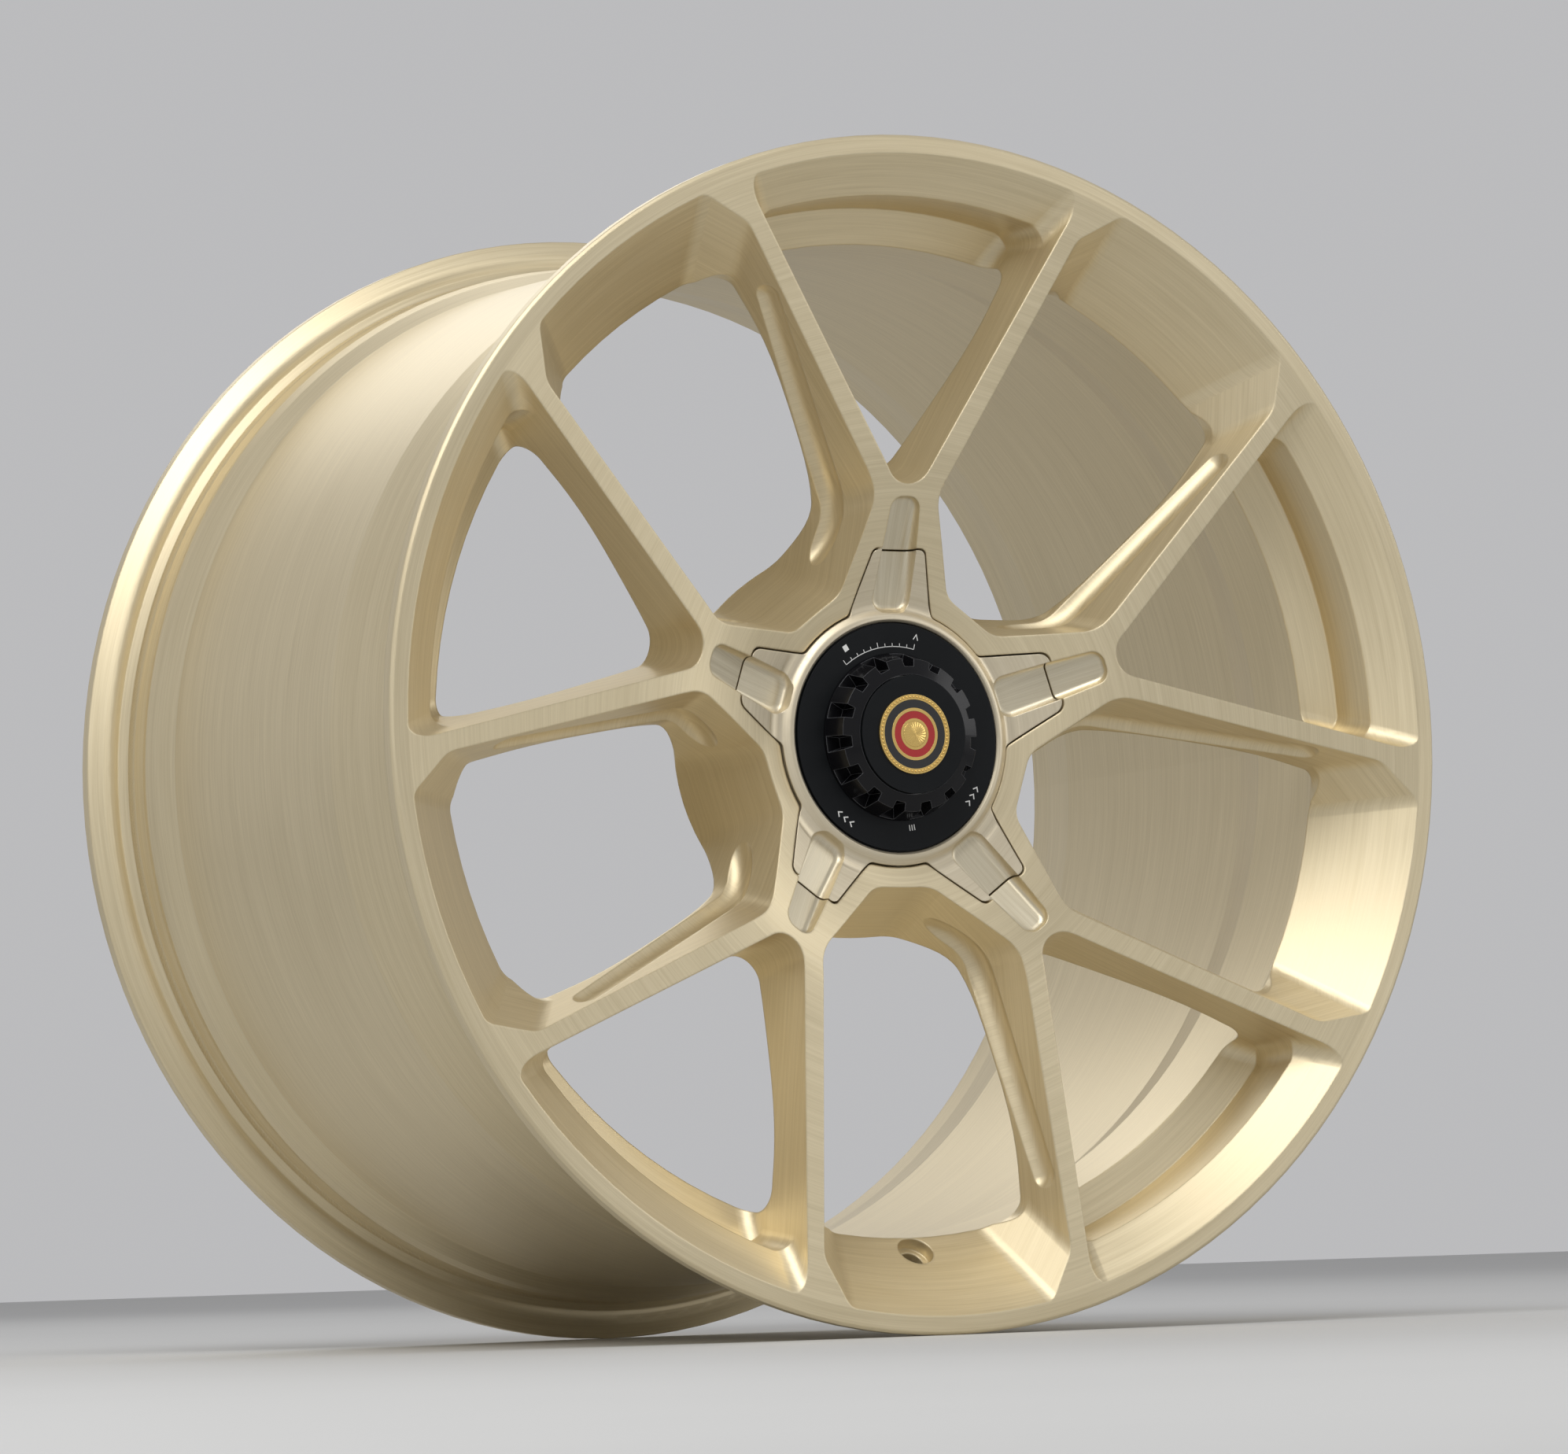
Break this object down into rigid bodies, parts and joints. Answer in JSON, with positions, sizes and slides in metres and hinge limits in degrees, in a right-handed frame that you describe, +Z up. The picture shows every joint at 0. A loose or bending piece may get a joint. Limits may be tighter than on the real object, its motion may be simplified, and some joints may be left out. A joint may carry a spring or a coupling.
{
  "type": "racing wheel rim",
  "caption": "Forged split-spoke racing wheel rim with a star cover, a captive toothed lock nut and a pull-off centre cap.",
  "frame": {"origin": "centre of the rim: on the axis, half-way between the outer planes of the two flanges", "axes": "+Y along the wheel's axis towards the car, front face towards -Y, +Z up with the valve hole at the bottom"},
  "size_m": [0.5683, 0.3564, 0.5684],
  "materials": {
    "champagne_gold": "brushed, anodised champagne gold",
    "cover_gold": "brushed, anodised pale champagne gold",
    "zinc_steel": "zinc plated, satin",
    "black_steel": "black oxide, satin",
    "black_anodised": "black anodised, satin",
    "satin_black": "satin black",
    "gloss_black": "gloss black",
    "seal_rubber": "matt",
    "medal_gold": "polished gold plate",
    "red_enamel": "gloss enamel",
    "black_enamel": "gloss enamel"
  },
  "bodies": {
    "wheel": {"wheel": "champagne_gold", "lug_seats": "zinc_steel", "carrier": "black_anodised", "carrier_screws": "zinc_steel"},
    "cover": {"cover": "cover_gold", "cover_dowels": "zinc_steel", "thrust_ring": "zinc_steel"},
    "nut": {"lock_nut": "satin_black", "nut_clip": "zinc_steel", "nut_seal": "seal_rubber", "drive_ring": "gloss_black", "drive_screws": "black_steel"},
    "cap": {"cap": "satin_black", "cap_spring": "zinc_steel", "medallion": "medal_gold", "enamel_red": "red_enamel", "enamel_black": "black_enamel"}
  },
  "joints": [
    {"name": "nut_turn", "type": "hinge", "parent": "cover", "child": "nut", "pos_m": [0, 0, 0], "axis": [0, -1, 0], "range_deg": [0, 1440]},
    {"name": "cover_lift", "type": "slide", "parent": "wheel", "child": "cover", "axis": [0, -1, 0], "range_m": [0, 0.0121]},
    {"name": "cap_pull", "type": "slide", "parent": "nut", "child": "cap", "axis": [0, -1, 0], "range_m": [0, 0.02]}
  ],
  "couplings": [
    {"joint": "cover_lift", "follows": "nut_turn", "m_per_rad": 0.00047746}
  ]
}
